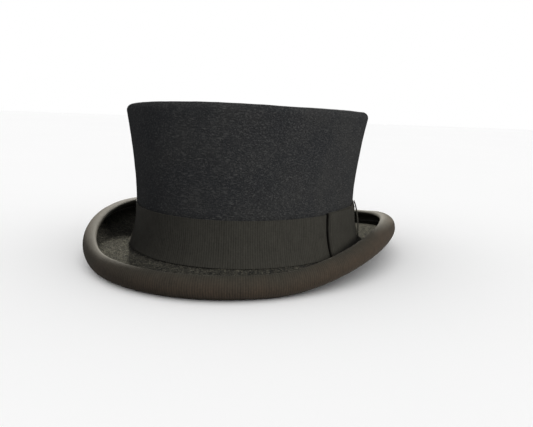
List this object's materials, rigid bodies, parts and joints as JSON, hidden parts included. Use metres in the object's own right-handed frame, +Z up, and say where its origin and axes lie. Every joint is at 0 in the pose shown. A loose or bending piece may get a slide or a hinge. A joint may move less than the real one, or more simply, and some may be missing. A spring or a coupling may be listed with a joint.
{
  "type": "top hat",
  "caption": "Waisted felt top hat with a curled, ribbon-bound brim, a ribbon band with a flat side bow, a reeded sweatband and a satin lining; it covers a head.",
  "frame": {"origin": "middle of the hat's outline, on the level surface that the front and back of the brim stand on", "axes": "+Z up through the crown; the wearer looks along -Y; +X is the wearer's left, where the bow is"},
  "size_m": [0.2462, 0.316, 0.118],
  "materials": {
    "wool_felt": "matt black wool felt with a fine fibre nap",
    "binding_ribbon": "warm black grosgrain, ribbed across its length, soft sheen",
    "band_ribbon": "black grosgrain with fine upright ribs, soft sheen",
    "satin_ribbon": "black satin ribbon",
    "black_thread": "twisted black thread",
    "sweatband_leather": "smooth dark brown leather with fine grain",
    "cotton_tape": "black plain-woven tape",
    "reed_plastic": "matt translucent plastic",
    "lining_satin": "charcoal satin"
  },
  "bodies": {
    "root": {"felt_body": "wool_felt", "brim_binding": "binding_ribbon", "binding_thread": "black_thread", "hat_band": "band_ribbon", "bow_front_loop": "band_ribbon", "bow_rear_loop": "band_ribbon", "bow_knot": "band_ribbon", "sweatband": "sweatband_leather", "sweatband_thread": "black_thread", "sweatband_joint_tape": "cotton_tape", "sweatband_reed": "reed_plastic", "sweatband_reed_tape": "cotton_tape", "sweatband_bow_left_loop": "satin_ribbon", "sweatband_bow_right_loop": "satin_ribbon", "sweatband_bow_knot": "satin_ribbon", "lining_side": "lining_satin", "lining_tip": "lining_satin", "lining_seam_cord": "lining_satin"}
  },
  "joints": []
}
